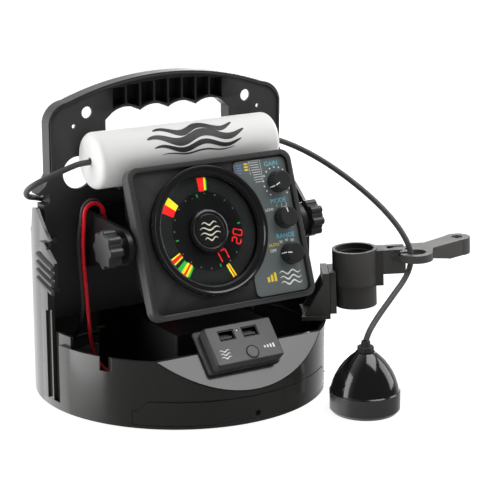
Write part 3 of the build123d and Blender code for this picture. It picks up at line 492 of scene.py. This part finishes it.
black_route = [
    (-0.0528, 0.062, 0.038),
    (-0.066, 0.062, 0.038),
    (-0.080, 0.053, 0.040),
    (-0.091, 0.038, 0.0445),
    (-0.0975, 0.020, 0.0535),
    (-0.100, 0.005, 0.0665),
    (-0.1002, -0.0033, 0.0835),
    (-0.1002, -0.002, 0.104),
    (-0.100, 0.002, 0.124),
    (-0.0998, 0.0048, 0.142),
    (-0.0996, 0.0032, 0.154),
    (-0.0992, -0.0008, 0.166),
    (-0.0988, -0.0022, 0.177),
    (-0.0933, -0.0025, 0.1826),
    (-0.0857, -0.0026, 0.1826),
    (-0.080, -0.0028, 0.177),
    (-0.0792, -0.0032, 0.165),
    (-0.076, -0.0032, 0.1535),
    (-0.068, -0.003, 0.1435),
    (-0.0565, -0.0023, 0.1355),
    (-0.043, -0.001, 0.1275),
    (-0.030, 0.002, 0.117),
    (-0.0205, 0.003, 0.107),
    (-0.0165, 0.002, 0.0965),
    (black_x, -0.0009, 0.0855),
    (black_x, -0.0079, 0.0772),
    (black_x, -0.0187, 0.0753),
    (black_x, -0.0281, 0.0807),
    plug_leg_point(black_x, 0.0108),
    plug_leg_point(black_x, 0),
]

cord_diameter = 0.0052
lead_diameter = 0.0036

whole_route = hank_turns() + free_route
transducer_cord = cord_curve("transducer_cord_line", whole_route, cord_diameter, looks["cord_black"])
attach(transducer_cord, "case")
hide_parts("transducer_cord", "cord_hank")
cord_length = length_of(line_points(transducer_cord))
print("transducer cord", round(cord_length, 3))


def bending_cord(name, route, diameter, node, slot):
    """Cord from the head to the case: a mesh tube along a fixed route."""
    line = cord_curve(name, route, diameter, looks[slot])
    points = line_points(line)
    print(name, round(length_of(points), 4))
    tube = as_mesh(line)
    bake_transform(tube)
    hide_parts(node)


bending_cord(
    "head_cord_tube",
    head_route,
    cord_diameter,
    "head_cord",
    "cord_black",
)
for name, node, route, slot, length in (
    ("red_lead_tube", "power_lead_red", red_route, "lead_red", 0.39),
    ("black_lead_tube", "power_lead_black", black_route, "cord_black", 0.39),
):
    bending_cord(
        name,
        list(reversed(route)),
        lead_diameter,
        node,
        slot,
    )


# ---------------------------------------------------------------- small pieces
def mesh_piece(name, vertices, faces, material, body, slot, smooth=False):
    """New object from vertices in metres, riding on a body."""
    mesh = bpy.data.meshes.new(name)
    mesh.from_pydata([tuple(vertex) for vertex in vertices], [], faces)
    mesh.validate()
    if smooth:
        mesh.shade_smooth()
    mesh.materials.append(material)
    piece = bpy.data.objects.new(name, mesh)
    scene.collection.objects.link(piece)
    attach(piece, body)
    return piece


def prisms(frame_of, outlines, low, high):
    """Vertices and faces of closed prisms between two heights over flat outlines in millimetres."""
    vertices, faces = [], []
    for outline in outlines:
        first, count = len(vertices), len(outline)
        for height in (low, high):
            vertices += [frame_of @ (Vector((x, y, height)) * MM) for x, y in outline]
        faces.append([first + n for n in reversed(range(count))])
        faces.append([first + count + n for n in range(count)])
        faces += [
            [first + n, first + (n + 1) % count, first + count + (n + 1) % count, first + count + n]
            for n in range(count)
        ]
    return vertices, faces


def sector(inner, outer, start, end):
    """Outline of a ring sector between two angles in degrees."""
    steps = max(2, int(abs(end - start) / 4))
    angles = [radians(start + (end - start) * n / steps) for n in range(steps + 1)]
    arc = [(outer * cos(a), outer * sin(a)) for a in angles]
    return arc + [(inner * cos(a), inner * sin(a)) for a in reversed(angles)]


def disc(x, y, radius, count=12):
    """Outline of a disc."""
    angles = [2 * pi * n / count for n in range(count)]
    return [(x + radius * cos(a), y + radius * sin(a)) for a in angles]


def bar(x, y, width, height):
    """Outline of an upright rectangle round its centre."""
    return [
        (x - width / 2, y - height / 2),
        (x + width / 2, y - height / 2),
        (x + width / 2, y + height / 2),
        (x - width / 2, y + height / 2),
    ]


def glow(name, colour, strength):
    """Printed or lit mark: flat colour with a faint glow of its own and a slight unevenness."""
    material = plastic(name, colour, 0.45, 0.0006, 0.000004, 0.0001, 0.08)
    shader = material.node_tree.nodes["Principled BSDF"]
    shader.inputs["Emission Color"].default_value = tint(colour, 1)
    shader.inputs["Emission Strength"].default_value = strength
    return material


marks = {
    "mark_red": glow("mark_red", (0.85, 0.01, 0.008), 0.9),
    "mark_yellow": glow("mark_yellow", (0.85, 0.80, 0.02), 0.8),
    "mark_green": glow("mark_green", (0.03, 0.50, 0.06), 0.7),
    "mark_white": glow("mark_white", (0.75, 0.77, 0.75), 0.15),
    "mark_cyan": glow("mark_cyan", (0.16, 0.52, 0.66), 0.12),
    "mark_blue": glow("mark_blue", (0.16, 0.22, 0.48), 0.1),
    "mark_gold": glow("mark_gold", (0.80, 0.58, 0.04), 0.15),
    "mark_dark": plastic("mark_dark", (0.012, 0.012, 0.013), 0.5),
    "annulus_grey": plastic("annulus_grey", (0.030, 0.032, 0.031), 0.35, 0.001, 0.000004, 0.0002, 0.06),
    "dial_floor": plastic("dial_floor", (0.006, 0.006, 0.0065), 0.3, 0.001, 0.000004, 0.0002, 0.06),
    "badge_ivory": glow("badge_ivory", (0.66, 0.63, 0.50), 0.12),
}


def flat_marks(name, outlines, look, frame_of, low, high, body, slot):
    """Thin printed or lit shapes between two heights of a frame, in one piece."""
    return mesh_piece(name, *prisms(frame_of, outlines, low, high), marks[look], body, slot)


def ring_piece(name, frame_of, profile, material, body, slot, count=96):
    """Turned piece: a closed profile of (radius, height) in millimetres swept round the frame's axis."""
    vertices, faces = [], []
    rows = len(profile)
    for n in range(count):
        angle = 2 * pi * n / count
        vertices += [frame_of @ (Vector((r * cos(angle), r * sin(angle), h)) * MM) for r, h in profile]
    for n in range(count):
        here, there = n * rows, ((n + 1) % count) * rows
        for row in range(rows):
            after = (row + 1) % rows
            faces.append([here + row, there + row, there + after, here + after])
    return mesh_piece(name, vertices, faces, material, body, slot)


# dial face under the window
face_low, face_high, mark_high = -7.0, -6.5, -6.3
echo_inner, echo_outer = 35, 47.8


def dial_marks(name, outlines, look, low=face_high, high=mark_high):
    """Shapes printed or lit on the dial face."""
    flat_marks(name, outlines, look, dial_frame, low, high, "head", "dial_black")


dial_marks("dial_floor_disc", [disc(0, 0, echo_inner, 96)], "dial_floor", face_low, face_high)
ring_piece(
    "dial_echo_ring",
    dial_frame,
    [(echo_inner, face_low), (echo_outer, face_low), (echo_outer, face_high), (echo_inner, face_high)],
    marks["annulus_grey"],
    "head",
    "dial_black",
)
echo_bars = {
    "mark_red": [
        (84, 92, 35, 47),
        (143, 153, 35, 47.2),
        (-152.5, -148.5, 35, 45.5),
        (-133, -130.5, 35, 46.5),
        (-67.5, -66, 34, 46.5),
    ],
    "mark_yellow": [
        (81.5, 83.8, 36, 47),
        (134, 142.8, 35, 47.2),
        (-154.5, -152.8, 35, 45.5),
        (-148.2, -146.5, 35, 45.5),
        (-136.5, -133.2, 35, 46.5),
        (-130.2, -127.5, 35, 46.5),
        (-69.3, -67.8, 34, 46.5),
        (-65.7, -64.2, 34, 46.5),
    ],
    "mark_green": [
        (80, 81.3, 36, 45),
        (-142, -136.8, 36, 46),
        (-127.2, -125, 36, 46),
        (-70.3, -69.5, 34, 42),
    ],
}
for look, spans in echo_bars.items():
    dial_marks(f"echo_{look}", [sector(inner, outer, start, end) for start, end, inner, outer in spans], look)
tick_angles = (98, -172, -79, 5)
tick_spans = [(angle - 0.8, angle + 0.8) for angle in tick_angles]
dial_marks("dial_ticks", [sector(30.5, 33.3, start, end) for start, end in tick_spans], "mark_green")
dot_circle = 33
dot_angles = [a for a in range(-168, 180, 18) if min(abs(a - tick) for tick in tick_angles) > 9]
dot_places = [(dot_circle * cos(radians(a)), dot_circle * sin(radians(a))) for a in dot_angles]
dial_marks("dial_dots", [disc(x, y, 0.42, 8) for x, y in dot_places], "mark_white")

# lit digits of seven strokes each
stroke_places = {
    "top": (0.5, 1.0, 0),
    "middle": (0.5, 0.5, 0),
    "bottom": (0.5, 0.0, 0),
    "upper_left": (0.0, 0.75, 1),
    "upper_right": (1.0, 0.75, 1),
    "lower_left": (0.0, 0.25, 1),
    "lower_right": (1.0, 0.25, 1),
}
digit_strokes = {
    "0": ("top", "bottom", "upper_left", "upper_right", "lower_left", "lower_right"),
    "1": ("upper_right", "lower_right"),
    "2": ("top", "middle", "bottom", "upper_right", "lower_left"),
    "7": ("top", "upper_right", "lower_right"),
}


def digit_outlines(text, centre, width, height, turn):
    """Strokes of a number, centred on a point and turned by an angle in degrees."""
    outlines = []
    pitch, stroke_width, stroke_gap = width * 1.55, 1.0, 0.7
    a = radians(turn)
    for n, character in enumerate(text):
        left = (n - (len(text) - 1) / 2) * pitch - width / 2
        for stroke in digit_strokes[character]:
            across, up, upright = stroke_places[stroke]
            x, y = left + across * width, (up - 0.5) * height
            if upright:
                corners = bar(x, y, stroke_width, height / 2 - stroke_gap)
            else:
                corners = bar(x, y, width - stroke_gap, stroke_width)
            turned = [(u * cos(a) - v * sin(a), u * sin(a) + v * cos(a)) for u, v in corners]
            outlines.append([(centre[0] + u, centre[1] + v) for u, v in turned])
    return outlines


digits = digit_outlines("17", (8.5, -24.0), 5.0, 9.4, 19) + digit_outlines("20", (27.8, -8.5), 4.8, 8.8, 71)
dial_marks("dial_digits", digits, "mark_red")

# glossy bead of the dial ring, with grip lugs
ring_piece(
    "dial_ring_bead",
    dial_frame,
    [
        (57.3, -0.6),
        (57.0, 0.5),
        (56.2, 1.2),
        (55.0, 1.3),
        (54.0, 0.7),
        (53.2, -0.6),
        (50.2, -3.6),
        (48.2, -3.9),
        (48.2, -4.1),
        (57.3, -1.0),
    ],
    looks["dial_gloss"],
    "head",
    "dial_black",
)
lug_angles = [angle + offset for angle in (160, 205, 250, 295) for offset in (0, 9)]
lugs = [sector(55.6, 58.2, angle - 1.6, angle + 1.6) for angle in lug_angles]
mesh_piece("dial_ring_lugs", *prisms(dial_frame, lugs, -0.6, 1.0), looks["dial_gloss"], "head", "dial_black")

# hub: raised ring round a plain disc with a generic wave mark
ring_piece(
    "hub_ring",
    dial_frame,
    [(15.2, -4.1), (19.0, -4.1), (18.2, -2.6), (16.6, -1.9), (15.2, -2.2)],
    looks["dial_black"],
    "head",
    "dial_black",
)
ring_piece(
    "hub_disc",
    dial_frame,
    [(0.05, -2.4), (14.6, -2.4), (14.0, -2.0), (0.05, -1.8)],
    looks["dial_black"],
    "head",
    "dial_black",
)


def wave(x, y, length, height, thickness, cycles=1.5):
    """Outline of one wavy stroke that tapers to both ends."""
    steps = 28
    upper, lower = [], []
    for n in range(steps + 1):
        t = n / steps
        middle = y + height * sin(2 * pi * cycles * t)
        half = thickness / 2 * (0.25 + 0.75 * sin(pi * t))
        upper.append((x + (t - 0.5) * length, middle + half))
        lower.append((x + (t - 0.5) * length, middle - half))
    return upper + list(reversed(lower))


hub_strokes = ((6, 15), (1.5, 20), (-3, 20), (-7.5, 13))
hub_waves = [wave(0, y, length, 1.3, 1.5) for y, length in hub_strokes]
dial_marks("hub_waves", hub_waves, "badge_ivory", -2.0, -1.75)

# control plate printing
plate_top, print_top = -2.8, -2.68


def plate_marks(name, outlines, look):
    """Shapes printed on the control plate."""
    flat_marks(name, outlines, look, head_frame, plate_top - 0.1, print_top, "head", "plate_grey")


def label(name, text, x, y, size, look):
    """Generic function word or number printed on the plate."""
    data = bpy.data.curves.new(name, "FONT")
    data.body = text
    data.size = size * MM
    data.extrude = 0.00006
    data.align_x = "CENTER"
    data.align_y = "CENTER"
    data.materials.append(marks[look])
    words = bpy.data.objects.new(name, data)
    words.matrix_world = head_frame @ Matrix.Translation(Vector((x, y, plate_top + 0.06)) * MM)
    scene.collection.objects.link(words)
    bpy.context.view_layer.update()
    mesh = bpy.data.meshes.new_from_object(words.evaluated_get(bpy.context.evaluated_depsgraph_get()))
    mesh.transform(words.matrix_world)
    bpy.data.objects.remove(words)
    piece = bpy.data.objects.new(name, mesh)
    scene.collection.objects.link(piece)
    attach(piece, "head")


label("word_gain", "GAIN", 62.5, 55.0, 5.8, "mark_cyan")
label("word_mode", "MODE", 62.8, 21.4, 5.8, "mark_cyan")
label("word_range", "RANGE", 63.4, -10.2, 5.8, "mark_cyan")
label("word_auto", "AUTO", 49.8, -17.2, 3.9, "mark_gold")
label("word_off", "OFF", 48.3, -22.2, 3.9, "mark_white")
label("word_low", "LOW", 52.2, 14.3, 3.6, "mark_white")
for number, (x, y) in {"20": (57.5, -15.4), "40": (63.5, -14.3), "80": (69.5, -15.2)}.items():
    label(f"range_{number}", number, x, y, 3.5, "mark_white")
for number, x in {"1": 60.5, "2": 65.5, "3": 70.5}.items():
    label(f"mode_{number}", number, x, 17.2, 3.4, "mark_white")
scale_circle = 13.6
scale_turns = [radians(angle) for angle in range(-50, 231, 20)]
gain_dots = [disc(65 + scale_circle * cos(a), 38 + scale_circle * sin(a), 0.75, 10) for a in scale_turns]
plate_marks("gain_scale", gain_dots, "mark_white")
plate_marks("legend_blue", [bar(29, 57 - 2.3 * row, 5.5 - row % 2, 1.0) for row in range(4)], "mark_blue")
plate_marks("legend_yellow", [bar(36.5, 57.5 - 2.6 * row, 4.0, 1.5) for row in range(3)], "mark_gold")
legend_lines = [bar(45 + 0.3 * row, 58 - 2.2 * row, 9 - 0.5 * (row % 3), 0.45) for row in range(9)]
plate_marks("legend_lines", legend_lines, "mark_white")
frame_lines = [bar(45.5, 59.6, 11.5, 0.25), bar(51.4, 49.5, 0.25, 20.2), bar(39.8, 53.5, 0.25, 12.2)]
plate_marks("legend_frame", frame_lines, "mark_white")
depth_steps = [bar(38.0 + 3.6 * n, -46.5 + 0.8 * n, 2.4, 4.6 + 1.6 * n) for n in range(3)]
plate_marks("depth_steps", depth_steps, "mark_gold")
plate_marks("plate_waves", [wave(61, y, 22, 1.5, 1.7, 2.0) for y in (-42.6, -47.2, -51.8)], "mark_white")


# ---------------------------------------------------------------- knobs
# body, centre on the head's face in millimetres, and direction of the pointer in degrees
knob_spots = {
    "gain_knob": ("gain", 65.0, 38.0, 205),
    "mode_knob": ("mode", 65.0, 5.5, 100),
    "range_knob": ("range", 64.5, -27.0, 172),
}


def fluted_knob(node, body, x, y, pointer):
    """Control knob: fluted skirt, flat top with a rounded edge and a white pointer line."""
    frame_of = head_frame @ Matrix.Translation(Vector((x, y, 0)) * MM)
    flutes, per_flute = 22, 6
    count = flutes * per_flute
    levels = [
        (-2.4, 9.6, 0.0),
        (-1.6, 9.8, 0.0),
        (-1.2, 9.7, 0.35),
        (6.6, 9.25, 0.35),
        (7.4, 8.9, 0.15),
        (8.0, 8.3, 0.0),
    ]
    vertices, faces = [], []
    for height, radius, depth in levels:
        for n in range(count):
            angle = 2 * pi * n / count
            r = radius - depth * (0.5 + 0.5 * cos(flutes * angle))
            vertices.append(frame_of @ (Vector((r * cos(angle), r * sin(angle), height)) * MM))
    for level in range(len(levels) - 1):
        low, high = level * count, (level + 1) * count
        faces += [[low + n, low + (n + 1) % count, high + (n + 1) % count, high + n] for n in range(count)]
    faces.append(list(reversed(range(count))))
    faces.append([(len(levels) - 1) * count + n for n in range(count)])
    knob = mesh_piece(f"{node}_cap", vertices, faces, looks["knob_black"], body, "knob_black")
    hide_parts(node)
    turned = frame_of @ Matrix.Rotation(radians(pointer), 4, "Z")
    pointer_line, side_line = [bar(6.2, 0, 4.2, 0.9)], [bar(9.35, 0, 0.7, 1.0)]
    flat_marks(f"{node}_pointer", pointer_line, "mark_white", turned, 7.95, 8.12, body, "knob_black")
    flat_marks(f"{node}_side_line", side_line, "mark_white", turned, -1.0, 7.0, body, "knob_black")


for node, (body, x, y, pointer) in knob_spots.items():
    fluted_knob(node, body, x, y, pointer)


# ---------------------------------------------------------------- float's printed band
float_axis = (-0.009, 0.2193)
float_radius = 0.025


def on_float(x, angle, lift=0.00015):
    """Point on the float's skin at a station in metres and an angle in degrees up from the front."""
    a = radians(angle)
    return (x, float_axis[0] - (float_radius + lift) * cos(a), float_axis[1] + (float_radius + lift) * sin(a))


def float_wave(name, middle_x, middle_angle, length, swing, thick, cycles):
    """Wavy printed stroke laid round the float's front."""
    steps = 72
    vertices, faces = [], []
    for n in range(steps + 1):
        t = n / steps
        centre = middle_angle + swing * sin(2 * pi * cycles * t + 0.6)
        half = thick * (0.12 + 0.88 * sin(pi * t) ** 0.6)
        x = middle_x + (t - 0.5) * length
        vertices += [on_float(x, centre + half * k) for k in (-1, -0.33, 0.33, 1)]
    for n in range(steps):
        for k in range(3):
            a = 4 * n + k
            faces.append([a, a + 4, a + 5, a + 1])
    mesh_piece(name, vertices, faces, marks["mark_dark"], "float", "foam_white", smooth=True)


# angle up from the front, length in metres, swing and thickness in degrees
float_strokes = ((58, 0.080, 8, 8.5), (38, 0.098, 8, 9.5), (19, 0.088, 6, 5.5), (7, 0.074, 2.2, 1.6))
for row, (angle, length, swing, thick) in enumerate(float_strokes, 1):
    float_wave(f"float_wave_{row}", 0.002, angle, length, swing, thick, 2.0)


# ---------------------------------------------------------------- charging box printing, and a painted glint on its LED
slope_sink = 1.5
slope_frame = frame_matrix(
    (-2.8, slope_top_y - slope_sink * cos(slope_angle), slope_top_z - slope_sink * sin(slope_angle)),
    (1, 0, 0),
    (0, cos(slope_angle), sin(slope_angle)),
    (0, -sin(slope_angle), cos(slope_angle)),
)
usb_top = 13.0
print_low, print_high = usb_top - 0.05, usb_top + 0.08
usb_strokes = [wave(-22, y, 10, 0.9, 1.1) for y in (-5.6, -8.8, -12.0)]
flat_marks("usb_waves", usb_strokes, "mark_white", slope_frame, print_low, print_high, "case", "usb_grey")
usb_bars = [bar(17.5 + 3.0 * n, -8.4, 1.7, 2.0 + 0.7 * n) for n in range(4)]
flat_marks("usb_level_marks", usb_bars, "mark_white", slope_frame, print_low, print_high, "case", "usb_grey")
# Small white spot on the dark LED: a painted glint.
led_low, led_high = usb_top - 0.3, usb_top - 0.1
led_glint_spot = [disc(-2.6, 11.5, 0.7, 12)]
flat_marks("usb_led_glint", led_glint_spot, "mark_white", slope_frame, led_low, led_high, "case", "led_white")
button_frame = slope_frame @ Matrix.Translation(Vector((4.0, -11.0, 0)) * MM)
ring_piece(
    "usb_button_ring",
    button_frame,
    [(5.8, usb_top - 0.3), (6.7, usb_top - 0.3), (6.5, usb_top + 0.25), (6.0, usb_top + 0.25)],
    looks["dial_black"],
    "case",
    "usb_grey",
    48,
)


# ---------------------------------------------------------------- seams of the front wall
def wall_seam(name, path):
    """Dark joint line along points (x, z) in millimetres on the front of the case wall."""
    half, inner, outer = 0.5, wall_radius - 0.1, wall_radius + 0.07
    vertices, faces = [], []
    for n, (x, z) in enumerate(path):
        before, after = path[max(n - 1, 0)], path[min(n + 1, len(path) - 1)]
        along = Vector((after[0] - before[0], after[1] - before[1])).normalized()
        for side in (-1, 1):
            px, pz = x - side * half * along.y, z + side * half * along.x
            for radius in (inner, outer):
                vertices.append(Vector((px, -((radius**2 - px**2) ** 0.5), pz)) * MM)
    for n in range(len(path) - 1):
        a = 4 * n
        faces += [[a + 1, a + 5, a + 7, a + 3], [a, a + 2, a + 6, a + 4]]
        faces += [[a, a + 4, a + 5, a + 1], [a + 2, a + 3, a + 7, a + 6]]
    last = 4 * (len(path) - 1)
    faces += [[0, 1, 3, 2], [last, last + 2, last + 3, last + 1]]
    mesh_piece(name, vertices, faces, looks["seam_black"], "case", "case_black")


def divided(outline, pitch=4.0):
    """Points along an outline, close enough together to follow a curved wall."""
    path = []
    for (x0, z0), (x1, z1) in zip(outline, outline[1:]):
        count = max(1, int(abs(x1 - x0) / pitch))
        path += [(x0 + (x1 - x0) * n / count, z0 + (z1 - z0) * n / count) for n in range(count)]
    return path + [outline[-1]]


def crescent_edge():
    """Edge where the slanting front face meets the case wall."""
    half_width, drop, half_count = 82.5, 0.5, 30
    path = []
    for n in range(2 * half_count + 1):
        x = half_width * (n / half_count - 1)
        beyond_top = (wall_radius**2 - x**2) ** 0.5 + slope_top_y
        path.append((x, slope_top_z - drop - beyond_top * tan(slope_angle)))
    return path


cover_outline = [(-100, 4), (-100, 17), (-96, 17), (-89, 26), (89, 26), (96, 17), (100, 17), (100, 4)]
wall_seam("cover_seam", divided(cover_outline))
wall_seam("crescent_seam", crescent_edge())
# Black disc in front of the screw head: painted shade of the screw recess.
cover_screw_z, shade_disc_low, shade_disc_high = 9.2, 132.6, 133.3
cover_frame = frame_matrix((0, 0, cover_screw_z), (1, 0, 0), (0, 0, 1), (0, -1, 0))
mesh_piece(
    "cover_screw_shade_disc",
    *prisms(cover_frame, [disc(0, 0, 2.45, 24)], shade_disc_low, shade_disc_high),
    looks["seam_black"],
    "case",
    "soft_black",
)


# ---------------------------------------------------------------- raised border of the upright panel
def arc_through(start, middle, end, steps):
    """Points on the circle through three points, end left out."""
    (ax, ay), (bx, by), (cx, cy) = start, middle, end
    d = 2 * (ax * (by - cy) + bx * (cy - ay) + cx * (ay - by))
    a2, b2, c2 = ax**2 + ay**2, bx**2 + by**2, cx**2 + cy**2
    ux = (a2 * (by - cy) + b2 * (cy - ay) + c2 * (ay - by)) / d
    uy = (a2 * (cx - bx) + b2 * (ax - cx) + c2 * (bx - ax)) / d
    radius = ((ax - ux) ** 2 + (ay - uy) ** 2) ** 0.5
    first, last = atan2(ay - uy, ax - ux), atan2(cy - uy, cx - ux)
    turn = (last - first + pi) % (2 * pi) - pi
    angles = [first + turn * n / steps for n in range(steps)]
    return [(ux + radius * cos(a), uy + radius * sin(a)) for a in angles]


def panel_border():
    """Moulded bead that follows the panel's outline on its front, drawn in millimetres."""
    inset, foot_z, corner_z = 2.2, 206.0, 250
    w, shoulder, top = 119.0 - inset, 267.5 - inset, 285.5 - inset
    outer = [(-w, foot_z)]
    outer += arc_through((-w, corner_z), (-w + 5, shoulder - 7), (-w + 19, shoulder), 8)
    outer += arc_through((-w + 19, shoulder), (0, top), (w - 19, shoulder), 40)
    outer += arc_through((w - 19, shoulder), (w - 5, shoulder - 7), (w, corner_z), 8)
    outer += [(w, corner_z), (w, foot_z)]
    data = bpy.data.curves.new("panel_border", "CURVE")
    data.dimensions = "3D"
    data.bevel_depth = 0.0011
    data.bevel_resolution = 3
    data.use_fill_caps = True
    spline = data.splines.new("POLY")
    spline.points.add(len(outer) - 1)
    for point, (x, z) in zip(spline.points, outer):
        point.co = (x * MM, 0.0177, z * MM, 1)
    data.materials.append(looks["panel_black"])
    line = bpy.data.objects.new("panel_border", data)
    scene.collection.objects.link(line)
    border = as_mesh(line)
    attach(border, "case")


panel_border()


# ---------------------------------------------------------------- side rail ridges
def rail_ridges():
    """Four slanting grip ridges on the latch plate of the left side rail."""
    vertices, faces = [], []
    plate_radius, steps, pitch, fall = 137.0, 8, 7.2, 8.0
    rear_y, width, top_z = 8.5, 27.5, 139.0
    profile = ((0.0, -2.8), (3.0, -1.5), (3.0, 1.0), (0.0, 2.4))
    for n in range(4):
        first = len(vertices)
        for step in range(steps + 1):
            y = rear_y - width * step / steps
            z = top_z - pitch * n - fall * step / steps
            for stand, up in profile:
                radius = plate_radius + stand
                vertices.append(Vector((-((radius**2 - y**2) ** 0.5), y, z + up)) * MM)
        for step in range(steps):
            a = first + 4 * step
            faces += [[a + k, a + (k + 1) % 4, a + 4 + (k + 1) % 4, a + 4 + k] for k in range(4)]
        last = first + 4 * steps
        faces += [[first + 3, first + 2, first + 1, first], [last, last + 1, last + 2, last + 3]]
    mesh_piece("rail_ridges_left", vertices, faces, looks["rail_grey"], "case", "case_black")


rail_ridges()
